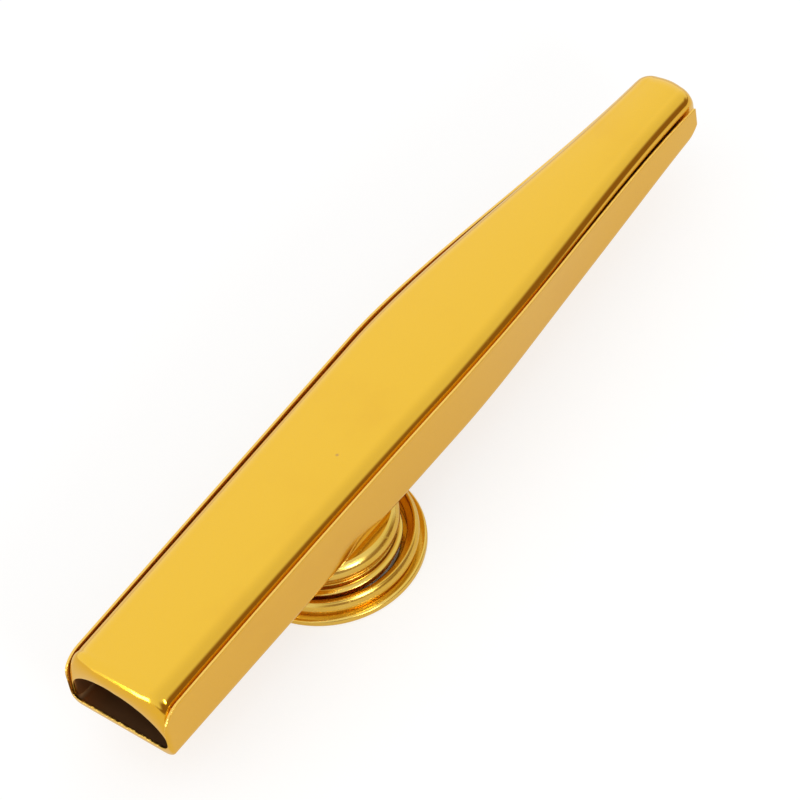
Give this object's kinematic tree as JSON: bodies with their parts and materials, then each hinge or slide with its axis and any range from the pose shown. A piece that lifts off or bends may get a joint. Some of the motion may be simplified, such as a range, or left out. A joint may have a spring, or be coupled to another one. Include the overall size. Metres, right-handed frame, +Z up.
{
  "type": "kazoo",
  "caption": "Metal kazoo standing on its turret: tapered pressed body with a wide mouth and a narrow tip, and a threaded turret whose screw cap clamps the buzzing membrane.",
  "frame": {"origin": "middle of the overall box, on the floor plane that the cap's foot stands on", "axes": "+X along the body from the wide mouth end to the narrow tip, +Y across the body, +Z up from the cap's foot through the turret to the crown of the rounded half; the turret's axis is parallel to Z at x = -20.5 mm, y = 0"},
  "size_m": [0.123, 0.0264, 0.0186],
  "materials": {
    "pressed_brass": "polished and lacquered gold, light drawing marks and fine scratches",
    "turned_brass": "polished and lacquered gold, turned",
    "film": "thin milky film, slightly wrinkled",
    "ring_card": "stiff pale card"
  },
  "bodies": {
    "cap": {"screw_cap": "turned_brass"},
    "membrane": {"membrane_film": "film", "membrane_ring": "ring_card"},
    "body": {"channel_half": "pressed_brass", "pillow_half": "pressed_brass", "turret_cup": "turned_brass"}
  },
  "joints": [
    {"name": "body_turn", "type": "hinge", "parent": "cap", "child": "membrane", "pos_m": [-0.0205, 0, 0], "axis": [0, 0, 1], "range_deg": [0, 260]},
    {"name": "body_rise", "type": "slide", "parent": "membrane", "child": "body", "axis": [0, 0, 1], "range_m": [0, 0.0013]}
  ],
  "couplings": [
    {"joint": "body_rise", "follows": "body_turn", "m_per_rad": 0.00028648}
  ]
}
